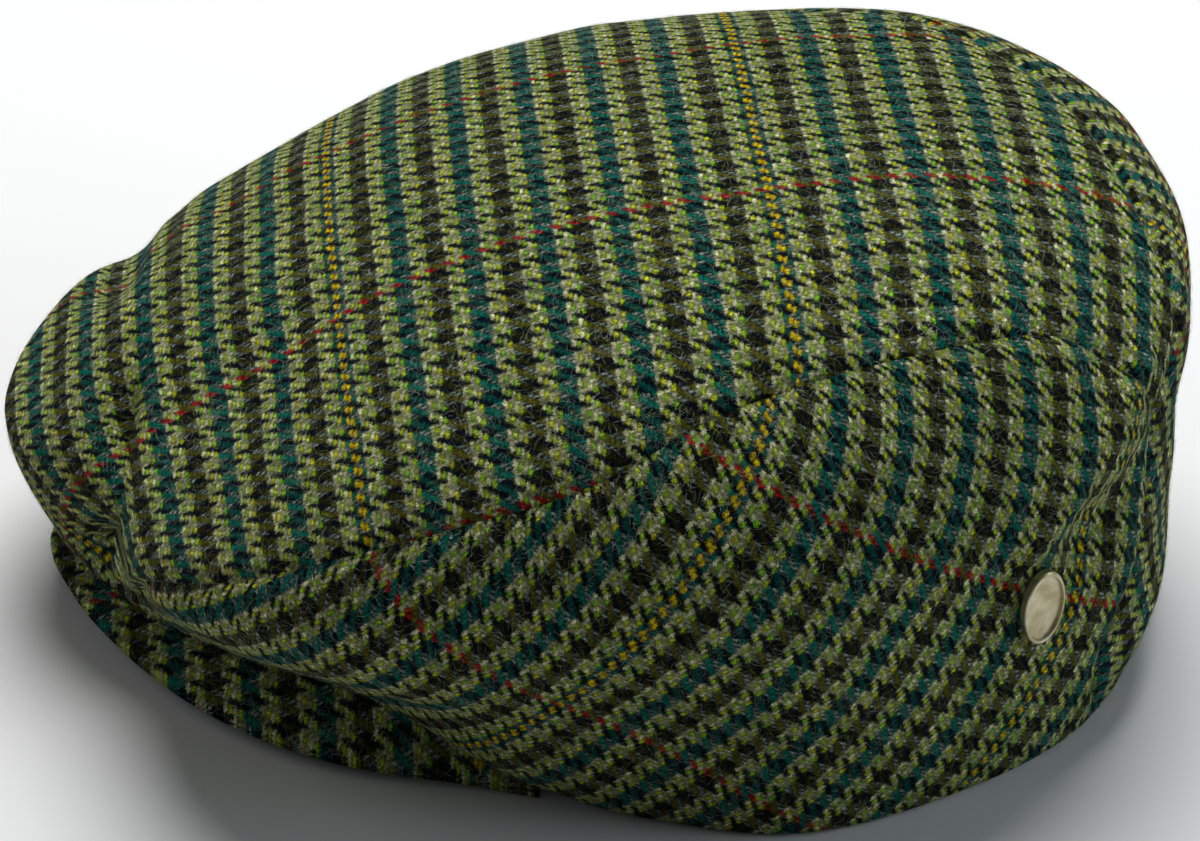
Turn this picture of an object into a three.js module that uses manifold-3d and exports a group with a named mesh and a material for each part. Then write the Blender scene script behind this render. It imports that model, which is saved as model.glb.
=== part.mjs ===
import * as THREE from 'three';
import Module from 'manifold-3d';
import { mergeVertices } from 'three/addons/utils/BufferGeometryUtils.js';

// Tweed flat cap lying on a table. Millimetres, +Z up, front (peak) towards -Y,
// the wearer's left towards +X. Angles go round from the front: 0 front, 90 the
// wearer's left, 180 back, 270 the wearer's right.

// Driving dimensions
const CLOTH = 2;            // wall of the crown: tweed and what backs it
const COVER = 1.7;          // each cover of the peak
const GAP = 0.3;            // clearance kept between two pieces
const PEAK_CLEAR = 1.1;     // least height of the crown above the peak's top cover
const PEAK_DOME = 0.03;     // rise of the peak's top cover between its edges, as a share of its width
const HEM_V = -1;           // the crown's height value at the inner edge of its turned-in hem
const TACK = 13.5;          // angle either side of the front where the top panel is tacked down
const SIDE_START = 15;      // angle either side of the front where the side panels begin
const SEAM_SWAY_FROM = 125; // the back seam's lean fades out this far round each side
const OPEN_GAP = 0.35;      // badge back to cloth, cloth to clutch
const BADGE = {             // oval plaque: place on the crown, sizes, post radius
  angle: 147.6, height: 0.84, long: 19, wide: 11, thick: 2, rim: 1.3, relief: 0.6, post: 1,
};
const CLUTCH = { radius: 4.6, bore: 1.35, thick: 3 };

// A table is written as rows of numbers under named columns.
function table(columns, rows) {
  const names = columns.split(' ');
  return rows.map((row) => Object.fromEntries(names.map((name, i) => [name, row[i]])));
}

// The crown, one section every 20 degrees: radius and height of the hem's inner edge, of the
// rim, of the lower wall and of the widest ring, and how square the roof's shoulder is.
const SECTIONS = ring(table('angle hemR hemZ rimR rimZ lowR lowZ wideR wideZ full', [
  [0, 88.5, 18.9, 119, 12, 127.5, 20, 135.5, 43, 2.6],
  [20, 86.5, 18.7, 100, 15, 106.5, 18, 115.5, 46, 2.5],
  [40, 79, 17.7, 83, 17, 91, 22, 113, 50, 2.6],
  [60, 72, 14.7, 76, 14, 86, 26, 109, 59, 2.7],
  [80, 72, 5.7, 76, 5.5, 89, 26, 101, 63, 2.9],
  [100, 78, 0, 81.5, 0, 88.5, 20, 99, 65, 3.3],
  [120, 92.5, 0, 96.3, 0, 99.5, 22, 104, 65, 3.8],
  [140, 102.5, 0, 106.5, 0, 110, 24, 111, 65, 4.2],
  [160, 115, 0, 119, 0, 123, 26, 123, 66, 5],
  [180, 119, 0, 123, 0, 127.5, 26, 129, 83, 5],
  [200, 116, 0, 120, 0, 126, 28, 133, 87, 5.3],
  [220, 104, 0, 108, 0, 116, 28, 126.5, 87, 4.7],
  [240, 90, 0, 94, 0, 100, 26, 110, 81, 3.7],
  [260, 77, 0, 81, 0, 89, 24, 102, 72, 3.2],
  [280, 72, 5.7, 76, 5.5, 88, 26, 102, 66, 3],
  [300, 72, 14.7, 76, 14, 86, 26, 110, 60, 2.8],
  [320, 79, 17.7, 83, 17, 94, 23, 120, 52, 2.8],
  [340, 87, 18.8, 101, 15, 110.5, 19, 132.3, 46.5, 2.9],
]));

// Height of the roof along the cap's middle, from the front to the back.
const ROOF = table('y z', [
  [-140, 52], [-127, 64], [-115, 74], [-90, 84], [-65, 94], [-42, 104], [-20, 111], [2, 116],
  [24, 119], [45, 120], [65, 120], [86, 118], [107, 115], [130, 109],
]);

// The valleys behind the two tacks: side, distance across where a valley starts and where it
// is deepest, its y at the top, half widths before and behind it, depth.
const VALLEYS = table('side start full y before behind depth', [
  [1, 2, 33, -101.5, 7, 3.5, 7],
  [-1, 4, 36, -111.5, 9, 8, 8],
]);
const VALLEY_CORE = { x: 8, z: 38 };

// Height value of the seam between the top panel and the side panels.
const SEAM = ring(table('angle v', [
  [0, HEM_V], [TACK, HEM_V], [13.9, 0], [14.3, 0.4], [SIDE_START, 0.42], [20, 0.58], [28, 0.8],
  [36, 1], [46, 1.11], [61, 1.22], [76, 1.28], [88, 1.31], [98, 1.35], [109, 1.41], [124, 1.44],
  [139, 1.43], [153, 1.39], [160, 1.33], [164, 1.21], [170, 1], [176, 1.12], [185, 1.28],
  [200, 1.38], [221, 1.43], [236, 1.44], [251, 1.41], [262, 1.35], [272, 1.31], [284, 1.28],
  [299, 1.22], [314, 1.11], [324, 1], [332, 0.8], [340, 0.58], [360 - SIDE_START, 0.42],
  [345.7, 0.4], [346.1, 0], [360 - TACK, HEM_V],
]));

// Angle of the back seam at shares of the height from the rim to the top panel.
const BACK_SEAM = table('share angle', [
  [0, 160.5], [0.4, 157.5], [0.55, 159], [0.7, 164], [0.85, 168], [1, 170],
]);

// The peak's top cover: radius and height of its inner and outer edges.
const PEAK = table('angle innerR innerZ outerR outerZ', [
  [-84, 72.5, 3.8, 77, 3.8], [-70, 72.5, 9.1, 86, 3.8], [-60, 74, 13.2, 91.5, 4.2],
  [-40, 80.5, 16.2, 104, 6.3], [-20, 86.5, 17.6, 119, 8.2], [0, 88.5, 18, 127, 9],
  [10, 88, 17.9, 120.5, 8.8], [20, 86.5, 17.6, 112, 8.2], [40, 80, 16.2, 97, 6.3],
  [60, 73, 13.2, 83, 4.2], [70, 72.5, 9.1, 78, 3.8], [84, 72.5, 3.8, 75.5, 3.8],
]);

// Columns and rows of the faceted shells
const ANGLES = [
  0, 5, 9, 11.5, TACK, 13.9, 14.3, SIDE_START, 16, 18, 20, 24, 28, 32, 36, 41, 46, 53, 61, 68.5, 76,
  85, 94, 101.5, 109, 119, 129, 139, 146, 153, 157, 160, 162, 164, 167, 170, 173, 176, 180, 185,
  192.5, 200, 210.5, 221, 231, 241, 251, 258.5, 266, 275, 284, 291.5, 299, 307, 314, 319, 324, 328,
  332, 336, 339, 341, 342.5, 344, 360 - SIDE_START, 345.7, 346.1, 360 - TACK, 350.5, 355,
];
const HEIGHTS = [
  HEM_V, -0.5, 0, 0.12, 0.25, 0.4, 0.58, 0.8, 0.9, 1, 1.07, 1.14, 1.22, 1.28, 1.34, 1.4, 1.46, 1.53,
  1.6, 1.68, 1.76, 1.84, 1.92, 2,
];
const PEAK_ANGLES = [84, 77, 70, 65, 60, 52, 44, 36, 28, 21, 15, 10, 5];
const PEAK_SHARES = [0, 0.2, 0.4, 0.6, 0.8, 0.93, 1];

// A table whose angles go once round, repeated so that it can be read across the front.
function ring(rows) {
  const turned = (by) => rows.map((row) => ({ ...row, angle: row.angle + by }));
  return [...turned(-360), ...rows, ...turned(360)];
}

function hermite(from, to, leave, arrive, t) {
  const t2 = t * t, t3 = t2 * t;
  return (2 * t3 - 3 * t2 + 1) * from + (t3 - 2 * t2 + t) * leave
    + (3 * t2 - 2 * t3) * to + (t3 - t2) * arrive;
}

// Smooth curve through one column of a table, held at its end values.
function read(rows, key, column, at) {
  const last = rows.length - 1;
  const x = Math.min(Math.max(at, rows[0][key]), rows[last][key]);
  let i = rows.findIndex((row) => row[key] > x) - 1;
  if (i < 0) i = last - 1;
  const slope = (k) => {
    const a = rows[Math.max(k - 1, 0)], b = rows[Math.min(k + 1, last)];
    return (b[column] - a[column]) / (b[key] - a[key]);
  };
  const step = rows[i + 1][key] - rows[i][key];
  return hermite(rows[i][column], rows[i + 1][column], slope(i) * step, slope(i + 1) * step,
    (x - rows[i][key]) / step);
}

function turn(angle) {
  return ((angle + 180) % 360 + 360) % 360 - 180;
}

// Height of the peak's top cover at an angle and a radius.
function peakTop(angle, radius) {
  const at = (column) => read(PEAK, 'angle', column, angle);
  const width = at('outerR') - at('innerR');
  const share = Math.min(Math.max((radius - at('innerR')) / width, 0), 1);
  return at('innerZ') + (at('outerZ') - at('innerZ')) * share + PEAK_DOME * width * Math.sin(Math.PI * share);
}

// Where the valleys pull the cloth to, which is towards the core of the head.
function drawnIn(x, y, z) {
  for (const fold of VALLEYS) {
    const reach = Math.min(Math.max((fold.side * x - fold.start) / (fold.full - fold.start), 0), 1);
    const off = y - fold.y + 0.2 * Math.max(51 - z, 0);
    const low = Math.min(Math.max((z - 14) / 12, 0), 1);
    const depth = fold.depth * reach * reach * (3 - 2 * reach) * low
      * Math.exp(-((off / (off < 0 ? fold.before : fold.behind)) ** 2));
    const [inX, inZ] = [VALLEY_CORE.x * fold.side - x, VALLEY_CORE.z - z];
    const length = Math.max(Math.hypot(inX, inZ), 1);
    x += depth * inX / length;
    z += depth * inZ / length;
  }
  return [x, z];
}

// Point of the crown's outer face. v goes from HEM_V, the hem's inner edge, through 0, the rim,
// and 1, the widest ring, to 2, the middle of the roof.
function crown(angle, v) {
  const at = (column) => read(SECTIONS, 'angle', column, angle);
  const forward = Math.cos(THREE.MathUtils.degToRad(angle));
  const across = Math.sin(THREE.MathUtils.degToRad(angle));
  const [rimR, rimZ, wideR, wideZ] = [at('rimR'), Math.max(at('rimZ'), 0), at('wideR'), at('wideZ')];
  let r, z;
  if (v < 0) {
    r = rimR + (at('hemR') - rimR) * v / HEM_V;
    z = rimZ + (Math.max(at('hemZ'), 0) - rimZ) * v / HEM_V;
  } else if (v < 1) {
    const [lowR, lowZ] = [at('lowR'), at('lowZ')];
    const [outR, outZ] = [(wideR - rimR) / 2, (wideZ - rimZ) / 2];
    const t = 2 * v;
    if (t < 1) {
      r = hermite(rimR, lowR, 2 * (lowR - rimR) - outR, outR, t);
      z = hermite(rimZ, lowZ, 2 * (lowZ - rimZ) - outZ, outZ, t);
    } else {
      r = hermite(lowR, wideR, outR, 0, t - 1);
      z = hermite(lowZ, wideZ, outZ, 1.2 * (wideZ - lowZ), t - 1);
    }
  } else {
    const reach = Math.max(Math.cos((Math.min(v, 2) - 1) * Math.PI / 2), 0);
    r = wideR * reach;
    const roof = Math.max(read(ROOF, 'y', 'z', -r * forward), wideZ + 4);
    z = wideZ + (roof - wideZ) * Math.sqrt(1 - reach ** at('full'));
  }
  const y = -r * forward, front = turn(angle);
  let x = r * across;
  [x, z] = drawnIn(x, y, z);
  if (v < 1 && Math.abs(front) < 90) z = Math.max(z, peakTop(front, Math.hypot(x, y)) + PEAK_CLEAR);
  return new THREE.Vector3(x, y, Math.max(z, 0));
}

// Outward normal on one side of a height value.
function facing(angle, v, side) {
  const e = 0.01, w = v + side * e;
  const round = crown(angle + e, w).sub(crown(angle - e, w));
  const rise = crown(angle, w + e / 2).sub(crown(angle, w - e / 2));
  return round.cross(rise).normalize();
}

// Mitred normal: right on the smooth wall and at the fold of the hem.
function outward(angle, v) {
  if (v >= 2) return new THREE.Vector3(0, 0, 1);
  const above = facing(angle, v, 1), below = facing(angle, v, -1);
  return above.clone().add(below).divideScalar(Math.max(1 + above.dot(below), 0.6));
}

// Change of v that moves a seam's edge by a distance square to the seam.
function seamStep(angle, distance) {
  const v = read(SEAM, 'angle', 'v', angle), e = 0.01;
  const round = crown(angle + e, v).sub(crown(angle - e, v)).divideScalar(2 * e);
  const rise = crown(angle, v + e).sub(crown(angle, v - e)).divideScalar(2 * e);
  const slope = (read(SEAM, 'angle', 'v', angle + e) - read(SEAM, 'angle', 'v', angle - e)) / (2 * e);
  const run = rise.clone().multiplyScalar(slope).add(round);
  return distance * run.length() / rise.cross(round).length();
}

function seam(angle) {
  return Math.max(read(SEAM, 'angle', 'v', angle), HEM_V);
}

// Closed solid between two faces given as columns of points. The outer face's columns run
// anticlockwise and its rows upwards as seen from outside; joined says the last column meets the first.
function shell(outer, inner, joined) {
  const positions = [];
  const triangle = (a, b, c) => {
    if (a.distanceTo(b) > 1e-6 && b.distanceTo(c) > 1e-6 && c.distanceTo(a) > 1e-6) {
      positions.push(...a, ...b, ...c);
    }
  };
  const patch = (a, b, c, d) => {
    if (a.distanceTo(c) <= b.distanceTo(d)) { triangle(a, b, c); triangle(a, c, d); }
    else { triangle(a, b, d); triangle(b, c, d); }
  };
  const top = outer[0].length - 1;
  const spans = joined ? outer.length : outer.length - 1;
  for (let i = 0; i < spans; i++) {
    const [o, p] = [outer[i], outer[(i + 1) % outer.length]];
    const [m, n] = [inner[i], inner[(i + 1) % outer.length]];
    for (let j = 0; j < top; j++) {
      patch(o[j], p[j], p[j + 1], o[j + 1]);
      patch(m[j + 1], n[j + 1], n[j], m[j]);
    }
    patch(m[0], n[0], p[0], o[0]);
    patch(o[top], p[top], n[top], m[top]);
  }
  if (!joined) {
    const [o, m, p, n] = [outer[0], inner[0], outer[spans], inner[spans]];
    for (let j = 0; j < top; j++) {
      patch(m[j], o[j], o[j + 1], m[j + 1]);
      patch(p[j], n[j], n[j + 1], p[j + 1]);
    }
  }
  const geometry = new THREE.BufferGeometry();
  geometry.setAttribute('position', new THREE.Float32BufferAttribute(positions, 3));
  return mergeVertices(geometry, 1e-4);
}

// A cloth panel of the crown from columns of [angle, v].
function panel(columns, joined) {
  const outer = columns.map((column) => column.map(([angle, v]) => crown(angle, v)));
  const inner = columns.map((column, i) => column.map(([angle, v], j) =>
    outer[i][j].clone().addScaledVector(outward(angle, v), -CLOTH)));
  return shell(outer, inner, joined);
}

function topPanel() {
  return panel(ANGLES.map((angle) => {
    const low = Math.abs(turn(angle)) <= TACK ? HEM_V : seam(angle) + seamStep(angle, GAP / 2);
    return HEIGHTS.map((v) => [angle, Math.max(v, low)]);
  }), true);
}

// A side panel from its tacked front end round to the back seam; side is 1 left, -1 right.
function sidePanel(side) {
  const meet = BACK_SEAM[BACK_SEAM.length - 1].angle;
  const ends = side > 0 ? [SIDE_START, meet] : [meet, 360 - SIDE_START];
  const angles = [ends[0], ...ANGLES.filter((a) => a > ends[0] + 0.5 && a < ends[1] - 0.5), ends[1]];
  const fade = (angle) => {
    const start = side > 0 ? SEAM_SWAY_FROM : 2 * meet - SEAM_SWAY_FROM;
    return THREE.MathUtils.smoothstep((angle - start) / (meet - start), 0, 1);
  };
  return panel(angles.map((angle) => {
    const high = seam(angle) - seamStep(angle, GAP / 2);
    return HEIGHTS.map((height) => {
      const v = Math.min(height, high);
      const share = Math.min(Math.max(v / high, 0), 1);
      let round = angle + (read(BACK_SEAM, 'share', 'angle', share) - meet) * fade(angle);
      if (angle === meet) {
        const edge = crown(round, v);
        round -= side * THREE.MathUtils.radToDeg(GAP / 2 / Math.hypot(edge.x, edge.y));
      }
      return [round, v];
    });
  }), false);
}

// One cover of the peak, its upper face a depth below the peak's top.
function peakCover(depth) {
  const angles = [...PEAK_ANGLES, 0, ...PEAK_ANGLES.map((a) => -a).reverse()];
  const face = (below) => angles.map((angle) => PEAK_SHARES.map((share) => {
    const inner = read(PEAK, 'angle', 'innerR', angle), outer = read(PEAK, 'angle', 'outerR', angle);
    const r = inner + (outer - inner) * share, about = THREE.MathUtils.degToRad(angle);
    return new THREE.Vector3(r * Math.sin(about), -r * Math.cos(about), peakTop(angle, r) - below);
  }));
  return shell(face(depth), face(depth + COVER), false);
}

const wasm = await Module();
wasm.setup();

function solid(geometry) {
  const bare = geometry.clone();
  for (const name of ['normal', 'uv']) bare.deleteAttribute(name);
  const merged = mergeVertices(bare, 1e-4);
  return new wasm.Manifold(new wasm.Mesh({
    numProp: 3,
    vertProperties: new Float32Array(merged.attributes.position.array),
    triVerts: new Uint32Array(merged.index.array),
  }));
}

function geometryOf(manifold) {
  const mesh = manifold.getMesh();
  const geometry = new THREE.BufferGeometry();
  geometry.setAttribute('position', new THREE.Float32BufferAttribute(mesh.vertProperties, 3));
  geometry.setIndex(Array.from(mesh.triVerts));
  return geometry;
}

// The badge's own frame on the left side panel: z out of the cloth, y up the wall.
function badgeFrame(lift) {
  const out = outward(BADGE.angle, BADGE.height).normalize();
  const across = new THREE.Vector3(0, 0, 1).cross(out).normalize();
  const place = new THREE.Matrix4().makeBasis(across, out.clone().cross(across), out);
  return place.setPosition(crown(BADGE.angle, BADGE.height).addScaledVector(out, lift));
}

// Oval plaque with a raised border, and the post on its back.
function badge() {
  const edge = BADGE.long / 2, border = edge - BADGE.rim, field = BADGE.thick - BADGE.relief;
  const profile = [
    [0, 0], [edge - 0.3, 0], [edge, 0.3], [edge, BADGE.thick - 0.3], [edge - 0.3, BADGE.thick],
    [border + 0.3, BADGE.thick], [border, field], [border * 0.6, field + 0.25], [0, field + 0.4],
  ].map(([r, z]) => new THREE.Vector2(r, z));
  const plate = new THREE.LatheGeometry(profile, 40).rotateX(Math.PI / 2);
  plate.scale(BADGE.wide / BADGE.long, 1, 1);
  const length = OPEN_GAP * 2 + CLOTH + CLUTCH.thick;
  const post = new THREE.CylinderGeometry(BADGE.post, BADGE.post, length + 0.5, 16);
  post.rotateX(Math.PI / 2).translate(0, 0, 0.5 - (length + 0.5) / 2);
  return geometryOf(solid(plate).add(solid(post)));
}

function badgeClutch() {
  const { radius, bore, thick } = CLUTCH;
  const profile = [
    [bore, 0], [radius - 0.4, 0], [radius, 0.4], [radius, thick - 0.8], [radius - 0.8, thick],
    [bore, thick], [bore, 0],
  ].map(([r, z]) => new THREE.Vector2(r, z));
  return new THREE.LatheGeometry(profile, 28).rotateX(Math.PI / 2);
}

function postHole() {
  const radius = BADGE.post + 0.4;
  const hole = new THREE.CylinderGeometry(radius, radius, 4 * CLOTH, 16).rotateX(Math.PI / 2);
  return hole.applyMatrix4(badgeFrame(-CLOTH / 2));
}

const tweed = { color: 0x5d6647, roughness: 0.95, metalness: 0 };
const nickel = { color: 0xc9c4b0, roughness: 0.4, metalness: 0.9 };

const cap = new THREE.Group();
function add(name, geometry, look, frame) {
  const mesh = new THREE.Mesh(geometry, new THREE.MeshStandardMaterial(look));
  mesh.name = name;
  if (frame) mesh.applyMatrix4(frame);
  cap.add(mesh);
}

add('crown_top', topPanel(), tweed);
add('crown_side_left', geometryOf(solid(sidePanel(1)).subtract(solid(postHole()))), tweed);
add('crown_side_right', sidePanel(-1), tweed);
add('peak_top_cover', peakCover(0), tweed);
add('peak_under_cover', peakCover(COVER + GAP), tweed);
add('badge', badge(), nickel, badgeFrame(OPEN_GAP));
add('badge_clutch', badgeClutch(), nickel, badgeFrame(-CLOTH - OPEN_GAP - CLUTCH.thick));

// Origin at the middle of the cap's base box.
const box = new THREE.Box3().setFromObject(cap);
cap.position.set(-(box.min.x + box.max.x) / 2, -(box.min.y + box.max.y) / 2, -box.min.z);

export default cap;
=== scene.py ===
import math
import bmesh
import bpy
import numpy as np
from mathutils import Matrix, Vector, noise


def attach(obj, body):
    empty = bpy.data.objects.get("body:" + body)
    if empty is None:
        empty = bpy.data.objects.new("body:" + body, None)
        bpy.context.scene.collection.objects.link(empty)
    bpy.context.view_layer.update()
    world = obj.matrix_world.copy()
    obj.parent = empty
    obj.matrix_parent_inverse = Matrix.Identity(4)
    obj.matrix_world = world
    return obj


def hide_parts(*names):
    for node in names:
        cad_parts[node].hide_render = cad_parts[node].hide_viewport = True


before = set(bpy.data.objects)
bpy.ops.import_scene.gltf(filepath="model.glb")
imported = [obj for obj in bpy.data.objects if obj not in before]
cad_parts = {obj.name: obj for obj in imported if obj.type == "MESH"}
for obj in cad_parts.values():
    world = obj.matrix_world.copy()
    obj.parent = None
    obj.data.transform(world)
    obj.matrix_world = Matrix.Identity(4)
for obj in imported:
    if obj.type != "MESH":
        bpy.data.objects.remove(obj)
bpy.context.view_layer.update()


# ---------------------------------------------------------------------------------------------
# Table, daylight and camera
# The cap lies on a pale table under one big soft window above its right side, with weak
# fills in front and behind, and is looked at from its left side and above.
# ---------------------------------------------------------------------------------------------
MM = 0.001
look_at = Vector((0.0007, 0.0032, 0.047))


def stand_at(azimuth, elevation, distance):
    a, e = math.radians(azimuth), math.radians(elevation)
    way = Vector((math.sin(a) * math.cos(e), -math.cos(a) * math.cos(e), math.sin(e)))
    return look_at + way * distance


def aimed(place, target):
    return (Vector(target) - place).to_track_quat("-Z", "Y").to_euler()


camera = bpy.data.objects.new("camera", bpy.data.cameras.new("camera"))
camera.data.lens, camera.data.sensor_width = 135, 36
camera.location = stand_at(94, 37, 1.010)
camera.rotation_euler = aimed(camera.location, look_at)
bpy.context.collection.objects.link(camera)
bpy.context.scene.camera = camera


def soft_light(name, azimuth, elevation, distance, size, power, tint=(1, 1, 1)):
    light = bpy.data.objects.new(name, bpy.data.lights.new(name, "AREA"))
    light.data.shape, light.data.size, light.data.energy, light.data.color = "DISK", size, power, tint
    light.location = stand_at(azimuth, elevation, distance)
    light.rotation_euler = aimed(light.location, look_at)
    bpy.context.collection.objects.link(light)


soft_light("window", 272, 63, 1.3, 1.0, 23.6)
soft_light("front fill", 350, 30, 1.5, 0.9, 2.3)
soft_light("back fill", 176, 20, 1.5, 0.9, 6.2, (0.86, 1, 1.1))

world = bpy.data.worlds.new("room")
world.use_nodes = True
world.node_tree.nodes["Background"].inputs["Color"].default_value = (0.9, 0.93, 0.95, 1)
world.node_tree.nodes["Background"].inputs["Strength"].default_value = 0.095
bpy.context.scene.world = world
bpy.context.scene.view_settings.view_transform = "Standard"

table_half, under_cap = 4, -0.0002        # half its width, and how far it lies below the cap
board = bmesh.new()
bmesh.ops.create_grid(board, x_segments=1, y_segments=1, size=table_half)
bmesh.ops.translate(board, verts=board.verts, vec=(0, 0, under_cap))
floor_mesh = bpy.data.meshes.new("table")
board.to_mesh(floor_mesh)
board.free()
table = bpy.data.objects.new("table", floor_mesh)
bpy.context.collection.objects.link(table)
paper = bpy.data.materials.new("white_paper")
paper.use_nodes = True
paper.node_tree.nodes["Principled BSDF"].inputs["Base Color"].default_value = (0.7, 0.7, 0.7, 1)
paper.node_tree.nodes["Principled BSDF"].inputs["Roughness"].default_value = 0.8
floor_mesh.materials.append(paper)


# ---------------------------------------------------------------------------------------------
# Crown, top panel
# One piece of wool tweed from the front of the peak over the head to a point at the back.
# Two stitches tack it down on the peak, and a deep crease rises from each of them.
# ---------------------------------------------------------------------------------------------
# Angles go round from the front: 0 front, 90 the wearer's left, 180 back, 270 the right.
# v is how far up the crown a place is: -1 the hem's inner edge, 0 the rim, 1 the widest
# ring, 2 the middle of the roof. Lengths in the tables are millimetres.
middle = np.array([0.690, 3.137, 0])      # middle of the crown's roof, seen from above
cloth = 2.0                               # thickness of the tweed and what backs it
half_gap = 0.02                           # half the clearance between two panels
tack, side_start = 13.5, 15

# angle, hem radius and height, rim, lower wall, widest ring, squareness of the shoulder
sections = np.array([
    (0, 88.5, 18.9, 119, 12, 127.5, 20, 135.5, 43, 2.6),
    (20, 86.5, 18.7, 100, 15, 106.5, 18, 115.5, 46, 2.5),
    (40, 79, 17.7, 83, 17, 91, 22, 113, 50, 2.6),
    (60, 72, 14.7, 76, 14, 86, 26, 109, 59, 2.7),
    (80, 72, 5.7, 76, 5.5, 89, 26, 101, 63, 2.9),
    (100, 78, 0, 81.5, 0, 88.5, 20, 99, 65, 3.3),
    (120, 92.5, 0, 96.3, 0, 99.5, 22, 104, 65, 3.8),
    (140, 102.5, 0, 106.5, 0, 110, 24, 111, 65, 4.2),
    (160, 115, 0, 119, 0, 123, 26, 123, 66, 5),
    (180, 119, 0, 123, 0, 127.5, 26, 129, 83, 5),
    (200, 116, 0, 120, 0, 126, 28, 133, 87, 5.3),
    (220, 104, 0, 108, 0, 116, 28, 126.5, 87, 4.7),
    (240, 90, 0, 94, 0, 100, 26, 110, 81, 3.7),
    (260, 77, 0, 81, 0, 89, 24, 102, 72, 3.2),
    (280, 72, 5.7, 76, 5.5, 88, 26, 102, 66, 3),
    (300, 72, 14.7, 76, 14, 86, 26, 110, 60, 2.8),
    (320, 79, 17.7, 83, 17, 94, 23, 120, 52, 2.8),
    (340, 87, 18.8, 101, 15, 110.5, 19, 132.3, 46.5, 2.9),
], float)
# y, height of the roof along the middle
roof_line = np.array([
    (-140, 52), (-127, 64), (-115, 74), (-90, 84), (-65, 94), (-42, 104), (-20, 111), (2, 116),
    (24, 119), (45, 120), (65, 120), (86, 118), (107, 115), (130, 109),
], float)
# side, distance across where the valley starts and where it is deepest, its y at the top,
# half width in front and behind, depth, how rounded its bottom is
valleys = [(1, 2, 33, -101.5, 7.5, 3.2, 10, 1.15), (-1, 4, 36, -111.5, 9, 8, 7.5, 2)]
# the small welt behind each valley: its share of the depth, how far behind, its half width
welt_share, welt_back, welt_half = 0.17, 5.5, 2
valley_slant, slant_below = 0.2, 51       # a valley runs forward below this height
drawn_to = 8, 38                          # across and up: where a valley is drawn towards
valley_foot, valley_rise = 14, 12         # height it starts at, and over which it deepens
# angle, v of the seam between the top panel and the side panels
seam_line = np.array([
    (0, -1), (tack, -1), (13.9, 0), (14.3, 0.4), (side_start, 0.42), (20, 0.58), (28, 0.8),
    (36, 1), (46, 1.11), (61, 1.22), (76, 1.28), (88, 1.31), (98, 1.35), (109, 1.41),
    (124, 1.44), (139, 1.43), (153, 1.39), (160, 1.33), (164, 1.21), (170, 1), (176, 1.12),
    (185, 1.28), (200, 1.38), (221, 1.43), (236, 1.44), (251, 1.41), (262, 1.35), (272, 1.31),
    (284, 1.28), (299, 1.22), (314, 1.11), (324, 1), (332, 0.8), (340, 0.58),
    (360 - side_start, 0.42), (345.7, 0.4), (346.1, 0), (360 - tack, -1),
], float)
# angle, inner edge's radius and height, outer edge's radius and height of the peak's top
peak_outline = np.array([
    (-84, 72.5, 3.8, 77, 3.8), (-70, 72.5, 9.1, 86, 3.8), (-60, 74, 13.2, 91.5, 4.2),
    (-40, 80.5, 16.2, 104, 6.3), (-20, 86.5, 17.6, 119, 8.2), (0, 88.5, 18, 127, 9),
    (10, 88, 17.9, 120.5, 8.8), (20, 86.5, 17.6, 112, 8.2), (40, 80, 16.2, 97, 6.3),
    (60, 73, 13.2, 83, 4.2), (70, 72.5, 9.1, 78, 3.8), (84, 72.5, 3.8, 75.5, 3.8),
], float)
peak_dome, peak_clear = 0.03, 1.1


def round_the_cap(rows):
    before, after = rows.copy(), rows.copy()
    before[:, 0] -= 360
    after[:, 0] += 360
    return np.vstack([before, rows, after])


sections, seam_line = round_the_cap(sections), round_the_cap(seam_line)


def bend(start, end, leave, arrive, t):
    return ((2 * t**3 - 3 * t**2 + 1) * start + (t**3 - 2 * t**2 + t) * leave
            + (3 * t**2 - 2 * t**3) * end + (t**3 - t**2) * arrive)


def along(rows, column, at):
    """Smooth curve through one column of a table."""
    x, y = rows[:, 0], rows[:, column]
    slope = np.gradient(y)
    slope[1:-1] = (y[2:] - y[:-2]) / (x[2:] - x[:-2])
    slope[0], slope[-1] = (y[1] - y[0]) / (x[1] - x[0]), (y[-1] - y[-2]) / (x[-1] - x[-2])
    at = np.clip(at, x[0], x[-1])
    i = np.clip(np.searchsorted(x, at, side="right") - 1, 0, len(x) - 2)
    step = x[i + 1] - x[i]
    return bend(y[i], y[i + 1], slope[i] * step, slope[i + 1] * step, (at - x[i]) / step)


def from_front(angle):
    return (angle + 180) % 360 - 180


def peak_top(angle, radius):
    inner_r, inner_z, outer_r, outer_z = (along(peak_outline, k, angle) for k in range(1, 5))
    width = outer_r - inner_r
    share = np.clip((radius - inner_r) / width, 0, 1)
    return inner_z + (outer_z - inner_z) * share + peak_dome * width * np.sin(np.pi * share)


def drawn_in(x, y, z):
    """The valleys behind the tacks, where the top is pulled in towards the head."""
    for side, start, full, line, before, behind, deep, sharp in valleys:
        reach = np.clip((side * x - start) / (full - start), 0, 1)
        off = y - line + valley_slant * np.maximum(slant_below - z, 0)
        fold = np.exp(-abs(off / np.where(off < 0, before, behind)) ** sharp)
        welt = welt_share * np.exp(-((off - welt_back) / welt_half) ** 2)
        depth = deep * reach**2 * (3 - 2 * reach) * (fold - welt)
        depth = depth * np.clip((z - valley_foot) / valley_rise, 0, 1)
        in_x, in_z = drawn_to[0] * side - x, drawn_to[1] - z
        length = np.maximum(np.hypot(in_x, in_z), 1)
        x, z = x + depth * in_x / length, z + depth * in_z / length
    return x, z


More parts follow.
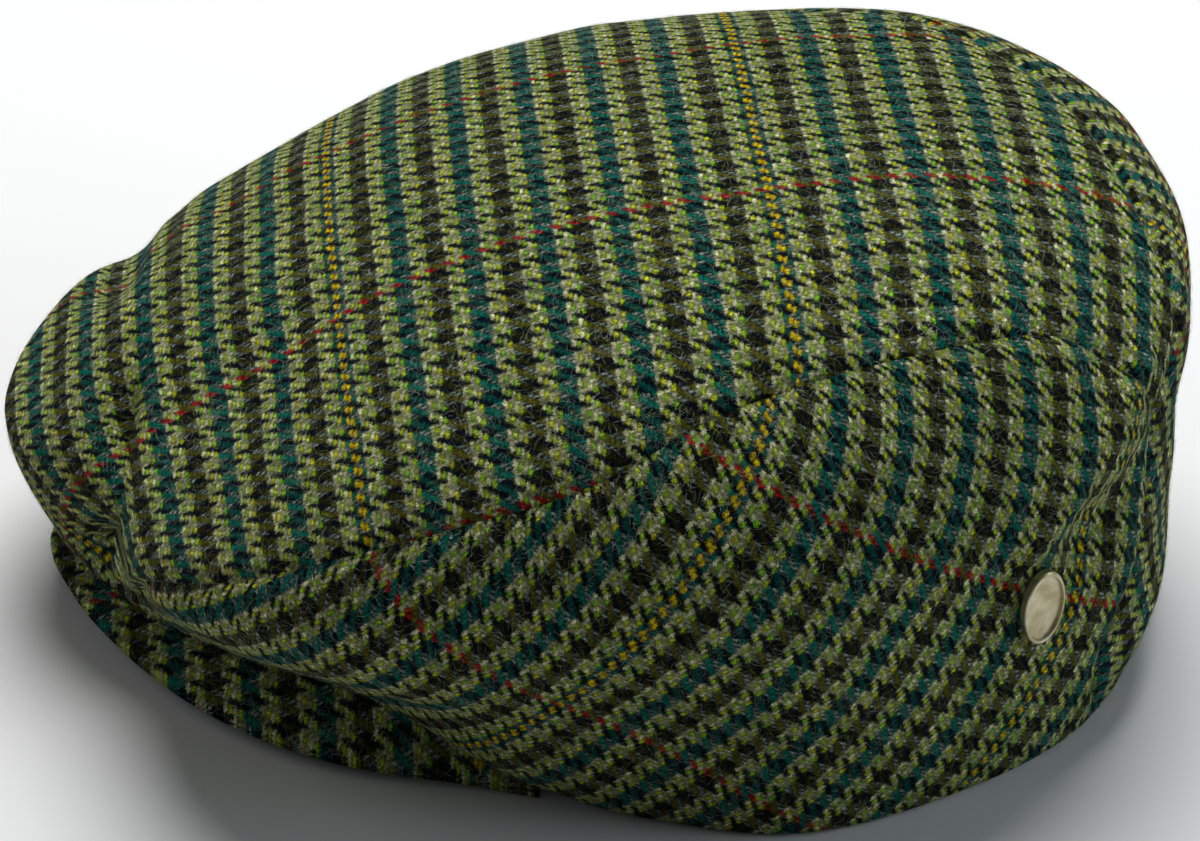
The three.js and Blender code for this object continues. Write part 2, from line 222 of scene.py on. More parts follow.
def crown(angle, v, drawn=True):
    """Outer face of the crown, in millimetres from the middle of the crown."""
    angle, v = np.broadcast_arrays(np.asarray(angle, float), np.asarray(v, float))
    hem_r, hem_z, rim_r, rim_z, low_r, low_z, wide_r, wide_z, full = (
        along(sections, k, angle) for k in range(1, 10))
    hem_z, rim_z = np.maximum(hem_z, 0), np.maximum(rim_z, 0)
    forward, across = np.cos(np.radians(angle)), np.sin(np.radians(angle))
    turned_in = -np.clip(v, -1, 0)
    hem = rim_r + (hem_r - rim_r) * turned_in, rim_z + (hem_z - rim_z) * turned_in
    out_r, out_z = (wide_r - rim_r) / 2, (wide_z - rim_z) / 2
    t = np.clip(2 * v, 0, 1)
    lower = (bend(rim_r, low_r, 2 * (low_r - rim_r) - out_r, out_r, t),
             bend(rim_z, low_z, 2 * (low_z - rim_z) - out_z, out_z, t))
    t = np.clip(2 * v - 1, 0, 1)
    upper = (bend(low_r, wide_r, out_r, 0 * out_r, t),
             bend(low_z, wide_z, out_z, 1.2 * (wide_z - low_z), t))
    reach = np.maximum(np.cos(np.clip(v - 1, 0, 1) * np.pi / 2), 0)
    roof_z = np.maximum(along(roof_line, 1, -wide_r * reach * forward), wide_z + 4)
    roof = wide_r * reach, wide_z + (roof_z - wide_z) * np.sqrt(1 - reach**full)
    where = [v < 0, v < 0.5, v < 1]
    r = np.select(where, [hem[0], lower[0], upper[0]], roof[0])
    z = np.select(where, [hem[1], lower[1], upper[1]], roof[1])
    x, y = r * across, -r * forward
    if drawn:
        x, z = drawn_in(x, y, z)
    front = from_front(angle)
    over_peak = (v < 1) & (abs(front) < 90)
    z = np.where(over_peak, np.maximum(z, peak_top(front, np.hypot(x, y)) + peak_clear), z)
    return np.stack([x, y, np.maximum(z, 0)], -1)


def seam_height(angle):
    return np.maximum(along(seam_line, 1, angle), -1)


def outward(angle, v, drawn=True):
    v = np.minimum(v, 1.97)
    round_it = crown(angle + 0.05, v, drawn) - crown(angle - 0.05, v, drawn)
    rise = crown(angle, v + 0.004, drawn) - crown(angle, v - 0.004, drawn)
    normal = np.cross(round_it, rise)
    return normal / np.linalg.norm(normal, axis=-1, keepdims=True)


seam_depth, seam_half = 1.1, 1.8          # the dip along the seam that joins top and sides
back_depth = 0.9                          # the dip along the back seam


def seam_distance(angle, v):
    """Distance over the cloth from the seam that joins top and sides, square to the seam."""
    s = seam_height(angle)
    round_it = (crown(angle + 0.05, s) - crown(angle - 0.05, s)) / 0.1
    rise = (crown(angle, s + 0.01) - crown(angle, s - 0.01)) / 0.02
    slope = (seam_height(angle + 0.05) - seam_height(angle - 0.05)) / 0.1
    run = rise * slope[..., None] + round_it
    square = np.linalg.norm(np.cross(rise, round_it), axis=-1) / np.linalg.norm(run, axis=-1)
    return (v - s) * square


def rounded_rim(angle, v, radius=2.2):
    """The crown with the fold at its rim rounded, as thick cloth turns."""
    hem = np.linalg.norm(crown(angle, -1) - crown(angle, 0), axis=-1)
    wall = np.linalg.norm(crown(angle, 0.05) - crown(angle, 0), axis=-1) / 0.05
    v_in, v_out = -radius / hem, radius / wall
    near = (v > v_in) & (v < v_out)
    t = np.where(v < 0, 0.5 - 0.5 * v / v_in, 0.5 + 0.5 * v / v_out)[..., None]
    turned = ((1 - t)**2 * crown(angle, np.maximum(v_in, -1)) + 2 * t * (1 - t) * crown(angle, 0 * v)
              + t**2 * crown(angle, v_out))
    return np.where(near[..., None], turned, crown(angle, v))


# Soft ridges and dents left by handling: angle and v of the two ends, half width, height
handled = [
    ((167, 1.17), (146, 1.01), 4.5, 2.2),
    ((172, 1.00), (154, 0.86), 8, -2.0),
    ((156, 0.95), (200, 0.78), 10, -4.6),
    ((165, 0.42), (190, 0.45), 9, 2.2),
    ((184, 1.06), (202, 1.08), 8, -1.4),
    ((150, 1.22), (118, 1.12), 9, -1.0),
    ((95, 0.75), (62, 0.60), 12, -1.4),
    ((40, 1.30), (25, 1.55), 10, -1.0),
    ((330, 1.30), (345, 1.60), 10, -1.0),
    ((215, 1.05), (245, 0.85), 12, -1.4),
    ((300, 0.70), (275, 0.80), 12, -1.2),
]


def handling(angle, v):
    here, height = crown(angle, v), 0
    for (a0, v0), (a1, v1), half, rise in handled:
        start, end = crown(a0, v0), crown(a1, v1)
        line = end - start
        t = np.clip(((here - start) @ line) / (line @ line), 0, 1)
        off = np.linalg.norm(here - start - t[..., None] * line, axis=-1)
        height = height + rise * np.exp(-(off / half) ** 2)
    waves = [[noise.noise(Vector(p) * 0.028) + 0.5 * noise.noise(Vector(p) * 0.06) for p in row]
             for row in here.reshape(1, -1, 3)]
    return height + 0.8 * np.array(waves).reshape(height.shape) * np.clip(v * 3, 0, 1)


def worn_crown(angle, v, seam_dip):
    lift = handling(angle, v) - seam_dip
    return rounded_rim(angle, v) + outward(angle, v) * (lift * np.clip(v * 6, 0, 1))[..., None]


# How the yarns lie. The top panel's warp runs across the cap, a little turned.
end_width, pick_width = 1.01, 0.885       # spacing of warp ends and of weft picks
warp_turn = 9.5                           # degrees from straight across
top_ends_at, top_picks_at = -20.1, -19.0  # which end and pick pass the roof's middle
# Blocking over a mould leaves the picks leaning: share of the lean, and where it starts
back_lean, back_from = 0.07, 60
skew, skew_from = 0.1, 25
far_lean, far_from, far_least, far_most = 0.0026, -50, -30, 110


def top_cloth(angles, heights):
    """Ends and picks on a grid of the crown, laid out flat from the roof's middle outwards."""
    a, v = np.meshgrid(angles, heights[::-1], indexing="ij")
    here, normal = crown(a, v, drawn=False), outward(a, v, drawn=False)
    way = np.stack([np.sin(np.radians(a)), -np.cos(np.radians(a))], -1)[:, 1:]
    # each step is laid flat about the level line through it, so only its downhill part grows
    downhill = (normal[:, 1:, :2] + normal[:, :-1, :2]) / 2
    downhill = downhill / np.maximum(np.linalg.norm(downhill, axis=-1, keepdims=True), 1e-9)
    under = v[:, 1:, None] < 1
    downhill = np.where(under & ((downhill * way).sum(-1, keepdims=True) < 0.2), way, downhill)
    step = np.diff(here, axis=1)
    fall = (step[..., :2] * downhill).sum(-1, keepdims=True)
    laid = np.hypot(fall, step[..., 2:]) * np.where(under, 1, np.sign(fall))
    run = step[..., :2] + (laid - fall) * downhill
    flat = np.concatenate([np.zeros((len(angles), 1, 2)), np.cumsum(run, axis=1)], axis=1)[:, ::-1]
    turn = math.radians(warp_turn)
    c, s = math.cos(turn), math.sin(turn)
    warp, weft = c * flat[..., 0] + s * flat[..., 1], c * flat[..., 1] - s * flat[..., 0]
    weft = weft - back_lean * np.clip(weft - back_from, 0, None)
    warp = (warp + skew * np.clip(weft - skew_from, 0, None)
            + far_lean * np.minimum(warp, 0) * np.clip(weft - far_from, far_least, far_most))
    return np.stack([weft / end_width + top_ends_at, warp / pick_width + top_picks_at], -1)


def look_up(grid, angles, heights, angle, v):
    """Values of a grid over the crown at any angle and height."""
    i = np.clip(np.searchsorted(angles, angle, side="right") - 1, 0, len(angles) - 2)
    j = np.clip(np.searchsorted(heights, v, side="right") - 1, 0, len(heights) - 2)
    p = ((angle - angles[i]) / (angles[i + 1] - angles[i]))[..., None]
    q = ((v - heights[j]) / (heights[j + 1] - heights[j]))[..., None]
    return ((1 - p) * ((1 - q) * grid[i, j] + q * grid[i, j + 1])
            + p * ((1 - q) * grid[i + 1, j] + q * grid[i + 1, j + 1]))


def sewn_panel(name, columns, rows, shape, yarns):
    """Cloth over a grid: shape and yarns take the column's and the row's place in 0..1."""
    bm = bmesh.new()
    uv = bm.loops.layers.uv.new("yarns")
    bmesh.ops.create_grid(bm, x_segments=columns, y_segments=rows, size=0.5)
    bm.verts.ensure_lookup_table()
    co = np.array([v.co[:2] for v in bm.verts]) + 0.5
    points, ends_picks = shape(co[:, 0], co[:, 1]), yarns(co[:, 0], co[:, 1])
    for v, p in zip(bm.verts, (points + middle) * MM):
        v.co = p
    for face in bm.faces:
        for loop in face.loops:
            loop[uv].uv = ends_picks[loop.vert.index]
    bmesh.ops.remove_doubles(bm, verts=bm.verts, dist=2e-6)
    bmesh.ops.dissolve_degenerate(bm, edges=bm.edges, dist=1e-6)
    bmesh.ops.recalc_face_normals(bm, faces=bm.faces)
    below = Vector((0, 0, -0.06))
    if sum((f.calc_center_median() - below).dot(f.normal) * f.calc_area() for f in bm.faces) < 0:
        bmesh.ops.reverse_faces(bm, faces=bm.faces)
    for face in bm.faces:
        face.smooth = True
    mesh = bpy.data.meshes.new(name)
    bm.to_mesh(mesh)
    bm.free()
    piece = bpy.data.objects.new(name, mesh)
    bpy.context.collection.objects.link(piece)
    return piece


def thicken(piece, thickness):
    wall = piece.modifiers.new("wall", "SOLIDIFY")
    wall.thickness, wall.offset, wall.use_even_offset = thickness * MM, -1, True
    wall.thickness_clamp = 0


def dyed(red, green, blue):
    """Colour of a dyed yarn, from screen values of 0 to 255, as light."""
    return tuple(((c / 255 + 0.055) / 1.055) ** 2.4 if c > 10 else c / 255 / 12.92
                 for c in (red, green, blue)) + (1,)


def tweed_material():
    """Two-and-two twill woven in a houndstooth: groups of four light and four dark yarns."""
    cloth_look = bpy.data.materials.new("tweed")
    cloth_look.use_nodes = True
    tree = cloth_look.node_tree
    shader = tree.nodes["Principled BSDF"]

    def node(kind, **values):
        made = tree.nodes.new(kind)
        for key, value in values.items():
            setattr(made, key, value)
        return made

    def feed(socket, value):
        if isinstance(value, bpy.types.NodeSocket):
            tree.links.new(value, socket)
        else:
            socket.default_value = value

    def math_of(kind, *values, clamp=False):
        made = node("ShaderNodeMath", operation=kind, use_clamp=clamp)
        for socket, value in zip(made.inputs, values):
            feed(socket, value)
        return made.outputs[0]

    def blend(share, first, second, kind="MIX"):
        made = node("ShaderNodeMix", data_type="RGBA", blend_type=kind)
        for socket, value in zip((made.inputs[0], made.inputs[6], made.inputs[7]), (share, first, second)):
            feed(socket, value)
        return made.outputs[2]

    def vector(x, y, z=0.0):
        made = node("ShaderNodeCombineXYZ")
        for socket, value in zip(made.inputs, (x, y, z)):
            feed(socket, value)
        return made.outputs[0]

    def noise_of(place, scale, detail=2.0):
        made = node("ShaderNodeTexNoise")
        made.inputs["Scale"].default_value = scale
        made.inputs["Detail"].default_value = detail
        feed(made.inputs["Vector"], place)
        return made.outputs["Fac"]

    uv = node("ShaderNodeUVMap", uv_map="yarns").outputs[0]
    split = node("ShaderNodeSeparateXYZ")
    feed(split.inputs[0], uv)

    # yarns wander a little, and their fuzz blurs their edges
    def wandered(socket, first, second, shift):
        slow = noise_of(vector(first, second, shift), 0.16)
        small = noise_of(vector(first, second, shift + 3.0), 0.8)
        fuzz = noise_of(vector(first, second, shift + 6.0), 3.6, 4.0)
        total = math_of("MULTIPLY_ADD", slow, 0.9, -0.45)
        total = math_of("MULTIPLY_ADD", small, 0.55, math_of("SUBTRACT", total, 0.275))
        total = math_of("MULTIPLY_ADD", fuzz, 2.3, math_of("SUBTRACT", total, 1.15))
        return math_of("ADD", socket, total)

    u = wandered(split.outputs[0], split.outputs[0], split.outputs[1], 0.0)
    v = wandered(split.outputs[1], split.outputs[1], split.outputs[0], 20.0)
    end, pick = math_of("FLOOR", u), math_of("FLOOR", v)
    warp_place = math_of("FLOORED_MODULO", math_of("ADD", end, 0.5), 16.0)
    light_end = math_of("LESS_THAN", math_of("FLOORED_MODULO", warp_place, 8.0), 4.0)
    lime_end = math_of("MULTIPLY", light_end,
                       math_of("GREATER_THAN", math_of("FLOORED_MODULO", warp_place, 2.0), 1.0))
    teal_end = math_of("GREATER_THAN", warp_place, 8.0)
    pick_place = math_of("FLOORED_MODULO", math_of("ADD", pick, 0.5), 8.0)
    light_pick = math_of("LESS_THAN", pick_place, 4.0)
    both_light = math_of("MULTIPLY", light_end, light_pick)

    # round yarns, the weft thinner than the warp, and thinnest where it crosses dark ends
    across_end = math_of("MULTIPLY_ADD", math_of("FRACT", u), 2.0, -1.0)
    across_pick = math_of("MULTIPLY_ADD", math_of("FRACT", v), 2.8, -1.4)
    end_round = math_of("SUBTRACT", 1.0, math_of("MULTIPLY", across_end, across_end))
    pick_round = math_of("SUBTRACT", 1.0, math_of("MULTIPLY", across_pick, across_pick))
    # place along a float: warp is on top while (pick - end) mod 4 is 0 or 1
    along_warp = math_of("SUBTRACT", v, end)
    along_weft = math_of("SUBTRACT", u, pick)
    warp_rise = math_of("COSINE", math_of("MULTIPLY", math_of("SUBTRACT", along_warp, 1.0), math.pi / 2))
    weft_rise = math_of("COSINE", math_of("MULTIPLY", math_of("SUBTRACT", along_weft, 2.0), math.pi / 2))
    gold_end = math_of("COMPARE", math_of("FLOORED_MODULO", math_of("ADD", end, 0.5), 96.0), 14.0, 1.0)
    warp_set = math_of("MULTIPLY_ADD", lime_end, -0.14, math_of("MULTIPLY_ADD", gold_end, -0.11, 0.10))
    red_pick = math_of("COMPARE", math_of("FLOORED_MODULO", math_of("ADD", pick, 0.5), 80.0), 3.0, 0.9)
    weft_set = math_of("MULTIPLY_ADD", math_of("SUBTRACT", light_pick, both_light), -0.16,
                       math_of("MULTIPLY_ADD", red_pick, 0.16, -0.10))
    warp_height = math_of("MULTIPLY_ADD", end_round, 0.5, math_of("MULTIPLY_ADD", warp_rise, 0.5, warp_set))
    weft_height = math_of("MULTIPLY_ADD", pick_round, 0.5, math_of("MULTIPLY_ADD", weft_rise, 0.5, weft_set))
    height = math_of("MAXIMUM", warp_height, weft_height)

    # the fibres of one yarn cross over into the next
    fibre_warp = noise_of(vector(math_of("MULTIPLY", u, 3.6), math_of("MULTIPLY", v, 1.5)), 1.0, 4.0)
    fibre_weft = noise_of(vector(math_of("MULTIPLY", u, 1.5), math_of("MULTIPLY", v, 3.6), 5.0), 1.0, 4.0)
    mingled = math_of("MULTIPLY", math_of("SUBTRACT", fibre_warp, fibre_weft), 3.0)
    above = math_of("SUBTRACT", warp_height, weft_height)
    warp_over = math_of("ADD", math_of("MULTIPLY_ADD", above, 5.0, 0.5), mingled, clamp=True)

    # every float of yarn is a little lighter or darker than the next
    def lot_of(yarn, place):
        lot = node("ShaderNodeTexWhiteNoise", noise_dimensions="2D")
        feed(lot.inputs["Vector"], vector(yarn, math_of("FLOOR", math_of("DIVIDE", place, 4.0))))
        return lot.outputs["Value"]

    warp_lot, weft_lot = lot_of(end, along_warp), lot_of(pick, along_weft)
    lime = blend(warp_lot, dyed(132, 200, 40), dyed(208, 210, 30))
    ecru = blend(warp_lot, dyed(236, 234, 182), dyed(164, 172, 124))
    olive = blend(light_pick, dyed(40, 40, 10), dyed(94, 92, 22))
    teal = blend(light_pick, dyed(0, 77, 71), dyed(0, 114, 98))
    dark = blend(teal_end, olive, teal)
    warp_colour = blend(light_end, dark, blend(lime_end, ecru, lime))
    warp_colour = blend(gold_end, warp_colour, dyed(232, 204, 14))
    pale = blend(weft_lot, dyed(106, 130, 124), dyed(186, 206, 196))
    filling = blend(weft_lot, dyed(140, 148, 102), dyed(226, 228, 176))
    navy = blend(light_end, dyed(8, 16, 42), dyed(18, 32, 48))
    weft_colour = blend(light_pick, navy, blend(light_end, pale, filling))
    weft_colour = blend(red_pick, weft_colour, dyed(196, 12, 40))
    colour = blend(warp_over, weft_colour, warp_colour)

    # specks of other fibres blended into the wool, and painted shade darkening the hollows between yarns,
    # less deep where light ends cross light picks
    speck = math_of("MULTIPLY_ADD", noise_of(vector(u, v, 9.0), 2.6, 2.0), 6.0, -3.7, clamp=True)
    colour = blend(math_of("MULTIPLY", speck, 0.45), colour, dyed(120, 130, 84))
    fibre = math_of("ADD", math_of("MULTIPLY", fibre_warp, warp_over),
                    math_of("MULTIPLY", fibre_weft, math_of("SUBTRACT", 1.0, warp_over)))
    grain = noise_of(vector(u, v, 14.0), 3.4, 3.0)
    shade = math_of("MULTIPLY_ADD", fibre, 5.4, math_of("MULTIPLY_ADD", grain, 5.2, -4.3))
    # painted shade: the colour darkens where the weave lies low between yarns
    hollow_shade = math_of("MULTIPLY_ADD", height, 1.6, -0.3, clamp=True)
    hollow_shade = math_of("MAXIMUM", hollow_shade, math_of("MULTIPLY_ADD", both_light, 0.38, 0.02))
    shade = math_of("MULTIPLY", math_of("MAXIMUM", shade, 0.05), hollow_shade)
    colour = blend(1.0, colour, vector(shade, shade, shade), "MULTIPLY")

    tree.links.new(colour, shader.inputs["Base Color"])
    shader.inputs["Roughness"].default_value = 0.9
    shader.inputs["Specular IOR Level"].default_value = 0.05
    bump = node("ShaderNodeBump")
    bump.inputs["Strength"].default_value = 0.9
    bump.inputs["Distance"].default_value = 0.0009
    feed(bump.inputs["Height"], math_of("MULTIPLY_ADD", fibre, 0.3, height))
    tree.links.new(bump.outputs[0], shader.inputs["Normal"])
    return cloth_look


tweed = tweed_material()

map_angles = np.arange(0, 361, 1.0)
map_heights = np.concatenate([np.arange(-1, 0, 0.1), np.arange(0, 2.0001, 0.01)])
top_yarns = top_cloth(map_angles, map_heights)

crown_rows = np.concatenate([
    [-1, -0.8, -0.6, -0.4, -0.2, -0.1, 0, 0.008, 0.016, 0.025, 0.035, 0.05], np.arange(0.07, 0.4, 0.02),
    np.arange(0.4, 1.5, 0.01), np.arange(1.5, 2.001, 0.0125)])
top_columns = 480


def seam_gap(angle, edge):
    """Half the clearance at the seam, as a step of v."""
    rise = np.linalg.norm(crown(angle, edge + 0.01) - crown(angle, edge), axis=-1) / 0.01
    return half_gap / np.maximum(rise, 1)


def top_places(x, y):
    angle = x * 360
    v = crown_rows[np.rint(y * (len(crown_rows) - 1)).astype(int)]
    edge = seam_height(angle)
    sewn = abs(from_front(angle)) > tack
    return angle, np.maximum(v, np.where(sewn, edge + seam_gap(angle, edge), -1))


def top_shape(x, y):
    angle, v = top_places(x, y)
    sewn = np.clip((abs(from_front(angle)) - tack) / 3, 0, 1)
    dip = seam_depth * np.exp(-(seam_distance(angle, v) / seam_half) ** 2) * sewn
    return worn_crown(angle, v, dip)


def top_yarn_places(x, y):
    angle, v = top_places(x, y)
    return look_up(top_yarns, map_angles, map_heights, angle, v)


top = sewn_panel("crown_top_cloth", top_columns, len(crown_rows) - 1, top_shape, top_yarn_places)
top.data.materials.append(tweed)
thicken(top, cloth)
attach(top, "root")
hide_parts("crown_top")


# ---------------------------------------------------------------------------------------------
# Crown, side panels
# Two panels of the same tweed, cut on the curve and sewn to the top panel and to each other
# in the back seam. Their lower edge is turned in, and their warp rises towards the back.
# ---------------------------------------------------------------------------------------------
# share of the height from the rim to the top panel, angle of the back seam
back_seam = np.array([(0, 160.5), (0.4, 157.5), (0.55, 159), (0.7, 164), (0.85, 168), (1, 170)], float)
meeting = 170                             # angle at which the two panels meet at the top
sway_from = 125                           # angle from which the left one leans to the seam
back_radius, mm_per_degree = 120, 2.1     # of the crown near the back seam
side_base = 0.3                            # the height along which a side is laid out flat
side_turn = 31.5                           # degrees that the warp rises towards the back
left_ends_at, left_picks_at = -41.0, 55.9
right_ends_at, right_picks_at = 20.5, 31.0


def side_cloth(angles, heights, side):
    """Ends and picks on a side panel, found by unrolling it flat along one height."""
    base_v = side_base + 0 * angles
    line = crown(angles, base_v)
    forth = crown(angles + 0.05, base_v) - crown(angles - 0.05, base_v)
    forth /= np.linalg.norm(forth, axis=-1, keepdims=True)
    up = crown(angles, base_v + 0.01) - crown(angles, base_v - 0.01)
    up /= np.linalg.norm(up, axis=-1, keepdims=True)
    normal = np.cross(forth, up)
    normal /= np.linalg.norm(normal, axis=-1, keepdims=True)
    left_of = np.cross(normal, forth)
    turning = (np.diff(forth, axis=0) * (left_of[1:] + left_of[:-1]) / 2).sum(-1)
    heading = np.concatenate([[0], np.cumsum(turning)])
    if side < 0:
        heading += math.pi - heading[-1]
    half = (heading[1:] + heading[:-1]) / 2
    run = np.linalg.norm(np.diff(line, axis=0), axis=-1)[:, None]
    steps = np.stack([np.cos(half), np.sin(half)], -1) * run
    flat = np.concatenate([np.zeros((1, 2)), np.cumsum(steps, axis=0)])
    if side < 0:
        flat -= flat[-1]
    up_way = heading + np.arctan2((up * left_of).sum(-1), (up * forth).sum(-1))
    a, v = np.meshgrid(angles, heights, indexing="ij")
    climb = np.linalg.norm(np.diff(crown(a, v), axis=1), axis=-1)
    climb = np.concatenate([np.zeros((len(angles), 1)), np.cumsum(climb, axis=1)], axis=1)
    climb -= climb[:, [np.argmin(abs(heights - side_base))]]
    place = flat[:, None] + climb[..., None] * np.stack([np.cos(up_way), np.sin(up_way)], -1)[:, None]
    ends_at, picks_at = (left_ends_at, left_picks_at) if side > 0 else (right_ends_at, right_picks_at)
    turn = math.radians(side_turn) * side
    warp = math.cos(turn) * place[..., 0] + math.sin(turn) * place[..., 1]
    weft = math.cos(turn) * place[..., 1] - math.sin(turn) * place[..., 0]
    return np.stack([-weft / end_width + ends_at, -warp / pick_width + picks_at], -1)


def make_side(name, node_name, side):
    ends = (side_start, meeting) if side > 0 else (meeting, 360 - side_start)
    angles = np.arange(ends[0] - 12 if side < 0 else ends[0], ends[1] + (5 if side > 0 else 0) + 0.5, 1.0)
    heights = map_heights[map_heights < 1.55]
    yarns = side_cloth(angles, heights, side)
    rows = crown_rows[crown_rows < 1.46]
    columns = 220

    def places(x, y):
        angle = ends[0] + (ends[1] - ends[0]) * x
        edge = seam_height(angle)
        high = edge - seam_gap(angle, edge)
        v = np.minimum(rows[np.rint(y * (len(rows) - 1)).astype(int)], high)
        share = np.clip(v / high, 0, 1)
        start = sway_from if side > 0 else 2 * meeting - sway_from
        t = np.clip((angle - start) / (meeting - start), 0, 1)
        lean = (along(back_seam, 1, share) - meeting) * t * t * (3 - 2 * t)
        last = np.where(abs(angle - meeting) < 1e-6, 1, 0)
        half_step = last * math.degrees(half_gap / back_radius)
        return angle + lean - side * half_step, v, (angle - meeting) * mm_per_degree

    def shape(x, y):
        angle, v, from_back = places(x, y)
        dip = (seam_depth * np.exp(-(seam_distance(angle, v) / seam_half) ** 2)
               + back_depth * np.exp(-(from_back / seam_half) ** 2))
        return worn_crown(angle, v, dip)

    def yarn_places(x, y):
        angle, v, _ = places(x, y)
        return look_up(yarns, angles, heights, angle, v)

    panel = sewn_panel(name, columns, len(rows) - 1, shape, yarn_places)
    panel.data.materials.append(tweed)
    thicken(panel, cloth)
    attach(panel, "root")
    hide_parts(node_name)
    return panel


left = make_side("crown_left_cloth", "crown_side_left", 1)
right = make_side("crown_right_cloth", "crown_side_right", -1)


# ---------------------------------------------------------------------------------------------
# Peak
# Two tweed covers sewn together round the front edge, with room between them for the board
# that stiffens a peak, which is not modelled. They run back under the crown to the opening.
# ---------------------------------------------------------------------------------------------
peak_ends_at, peak_picks_at = -49.4, -5.3
cover = 1.7                                # thickness of a cover and what backs it
cover_gap = 0.3                            # clearance between the two covers


def make_cover(name, node_name, below):
    def places(x, y):
        angle = -84 + 168 * x
        inner, outer = along(peak_outline, 1, angle), along(peak_outline, 3, angle)
        return angle, inner + (outer - inner) * y ** 0.8, outer

    def shape(x, y):
        angle, r, outer = places(x, y)
        from_edge = np.clip((outer - r) / 1.6, 0, 1)
        roll = 0.9 * (1 - np.sqrt(1 - (1 - from_edge) ** 2))
        z = peak_top(angle, r) - below
        z = z - roll if below == 0 else z
        a = np.radians(angle)
        return np.stack([r * np.sin(a), -r * np.cos(a), z], -1)

    def yarn_places(x, y):
        angle, r, _ = places(x, y)
        a, turn = np.radians(angle), math.radians(warp_turn)
        px, py = r * np.sin(a), -r * np.cos(a)
        c, s = math.cos(turn), math.sin(turn)
        return np.stack([(c * py - s * px) / end_width + peak_ends_at,
                         (c * px + s * py) / pick_width + peak_picks_at], -1)

    piece = sewn_panel(name, 220, 40, shape, yarn_places)
    piece.data.materials.append(tweed)
    thicken(piece, cover)
    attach(piece, "root")
    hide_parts(node_name)
    return piece


peak_top_cloth = make_cover("peak_top_cloth", "peak_top_cover", 0)
make_cover("peak_under_cloth", "peak_under_cover", cover + cover_gap)


# ---------------------------------------------------------------------------------------------
# Badge
# A small oval plaque of pale nickel-plated brass with a raised border. Its post goes through
# the left side panel into a clutch on the inside.
# ---------------------------------------------------------------------------------------------
plate = bpy.data.materials.new("nickel_plate")
plate.use_nodes = True
plate_tree = plate.node_tree
plate_shader = plate_tree.nodes["Principled BSDF"]
plate_shader.inputs["Metallic"].default_value = 0.9
place = plate_tree.nodes.new("ShaderNodeTexCoord")
# handling has dulled it in patches, and left fine pits and rubbed spots
for scale, low, high, dark, bright, socket in (
        (220, 0.35, 0.65, dyed(168, 156, 118), dyed(206, 198, 170), "Base Color"),
        (900, 0.3, 0.7, (0.28, 0.28, 0.28, 1), (0.48, 0.48, 0.48, 1), "Roughness")):
    patches = plate_tree.nodes.new("ShaderNodeTexNoise")
    patches.inputs["Scale"].default_value = scale
    patches.inputs["Detail"].default_value = 4
    worn = plate_tree.nodes.new("ShaderNodeValToRGB")
    worn.color_ramp.elements[0].position, worn.color_ramp.elements[0].color = low, dark
    worn.color_ramp.elements[1].position, worn.color_ramp.elements[1].color = high, bright
    plate_tree.links.new(place.outputs["Object"], patches.inputs["Vector"])
    plate_tree.links.new(patches.outputs["Fac"], worn.inputs["Fac"])
    plate_tree.links.new(worn.outputs["Color"], plate_shader.inputs[socket])
pits = plate_tree.nodes.new("ShaderNodeBump")
pits.inputs["Strength"].default_value = 0.3
pits.inputs["Distance"].default_value = 0.0002
plate_tree.links.new(patches.outputs["Fac"], pits.inputs["Height"])
plate_tree.links.new(pits.outputs["Normal"], plate_shader.inputs["Normal"])
for name in ("badge", "badge_clutch"):
    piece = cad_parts[name]
    piece.data.materials.clear()
    piece.data.materials.append(plate)


# ---------------------------------------------------------------------------------------------
# Wool hairs
# Loose ends of the wool that stand a little off the cloth and curl over it, in the colours
# of the yarns they come from. They make the soft edge that tweed has.
# ---------------------------------------------------------------------------------------------
hair_colours = np.array([dyed(180, 180, 158), dyed(150, 172, 60), dyed(160, 176, 168), dyed(44, 74, 58)])
hair_shares = [0.36, 0.18, 0.20, 0.26]
# least and most, in millimetres
hair_length, hair_rise, hair_half_width = (1.2, 3.8), (0.1, 0.75), (0.012, 0.024)

wool = bpy.data.materials.new("loose_wool")
wool.use_nodes = True
wool_shader = wool.node_tree.nodes["Principled BSDF"]
wool_shader.inputs["Roughness"].default_value = 0.8
wool_shader.inputs["Specular IOR Level"].default_value = 0.1
wool_colour = wool.node_tree.nodes.new("ShaderNodeAttribute")
wool_colour.attribute_name = "dye"
wool.node_tree.links.new(wool_colour.outputs["Color"], wool_shader.inputs["Base Color"])


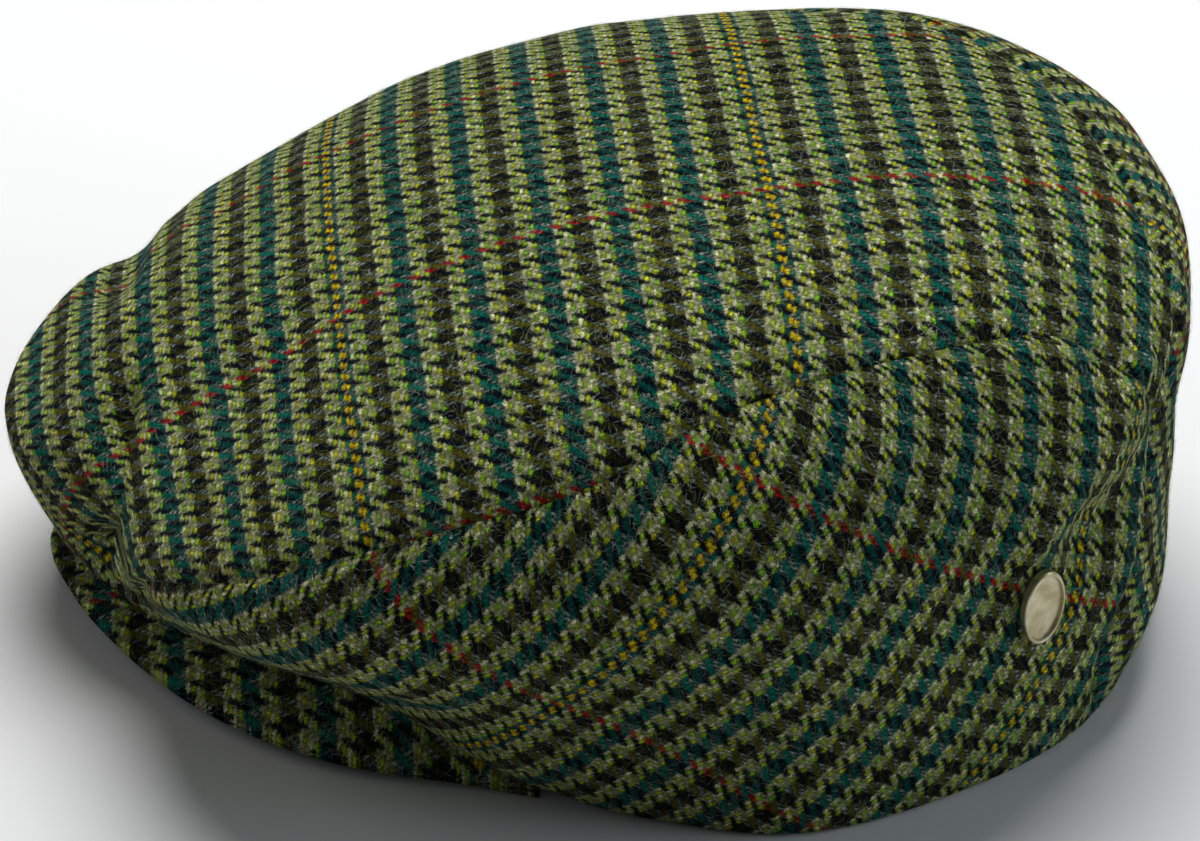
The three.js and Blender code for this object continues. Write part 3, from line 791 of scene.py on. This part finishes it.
def loose_hairs(name, grown_on, count, seed):
    luck = np.random.default_rng(seed)
    mesh = grown_on.data
    mesh.calc_loop_triangles()
    corners = np.empty(len(mesh.loop_triangles) * 3, np.int32)
    mesh.loop_triangles.foreach_get("vertices", corners)
    corners = corners.reshape(-1, 3)
    places, normals = np.empty(len(mesh.vertices) * 3), np.empty(len(mesh.vertices) * 3, np.float32)
    mesh.vertices.foreach_get("co", places)
    mesh.vertex_normals.foreach_get("vector", normals)
    places, normals = places.reshape(-1, 3), normals.reshape(-1, 3)
    sides = places[corners]
    area = np.linalg.norm(np.cross(sides[:, 1] - sides[:, 0], sides[:, 2] - sides[:, 0]), axis=1)
    picked = luck.choice(len(corners), count, p=area / area.sum())
    share = luck.dirichlet((1, 1, 1), count)[..., None]
    root = (places[corners[picked]] * share).sum(1)
    normal = (normals[corners[picked]] * share).sum(1)
    normal /= np.linalg.norm(normal, axis=1, keepdims=True)
    along_cloth = np.cross(normal, luck.normal(size=(count, 3)))
    along_cloth /= np.linalg.norm(along_cloth, axis=1, keepdims=True)
    across = np.cross(normal, along_cloth)

    length = luck.uniform(*hair_length, (count, 1)) * MM
    rise = luck.uniform(*hair_rise, (count, 1)) ** 1.3 * MM
    curl = luck.normal(0, 0.35, (count, 1)) * length
    wide = luck.uniform(*hair_half_width, (count, 1)) * MM
    flatness = across * 0.9 + normal * luck.uniform(-0.5, 0.5, (count, 1))
    rings = []
    for t, half in ((0, 1), (0.35, 1), (0.7, 0.8), (1, 0)):
        point = (root + along_cloth * length * t + across * curl * t**2
                 + normal * (rise * (4 * t * (1 - t)) * 0.8 + rise * 0.3 * t - 0.0001 * (1 - t)))
        rings += [point - flatness * wide * half, point + flatness * wide * half] if half else [point]
    points = np.stack(rings, 1).reshape(-1, 3)
    points[:, 2] = np.maximum(points[:, 2], 0.0001)
    first = np.arange(count)[:, None] * 7
    quads = np.concatenate([first + [0, 1, 3, 2], first + [2, 3, 5, 4]])
    tips = first + [4, 5, 6]
    hairs = bpy.data.meshes.new(name)
    hairs.from_pydata(points.tolist(), [], quads.tolist() + tips.tolist())
    dye = hairs.color_attributes.new("dye", "FLOAT_COLOR", "POINT")
    colour = hair_colours[luck.choice(4, count, p=hair_shares)] * luck.uniform(0.6, 1.3, (count, 1))
    dye.data.foreach_set("color", np.repeat(colour, 7, axis=0).ravel())
    hairs.materials.append(wool)
    piece = bpy.data.objects.new(name, hairs)
    bpy.context.collection.objects.link(piece)
    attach(piece, "root")


loose_hairs("hairs_on_top", top, 38000, 1)
loose_hairs("hairs_on_left", left, 20000, 2)
loose_hairs("hairs_on_right", right, 20000, 3)
loose_hairs("hairs_on_peak", peak_top_cloth, 6000, 4)
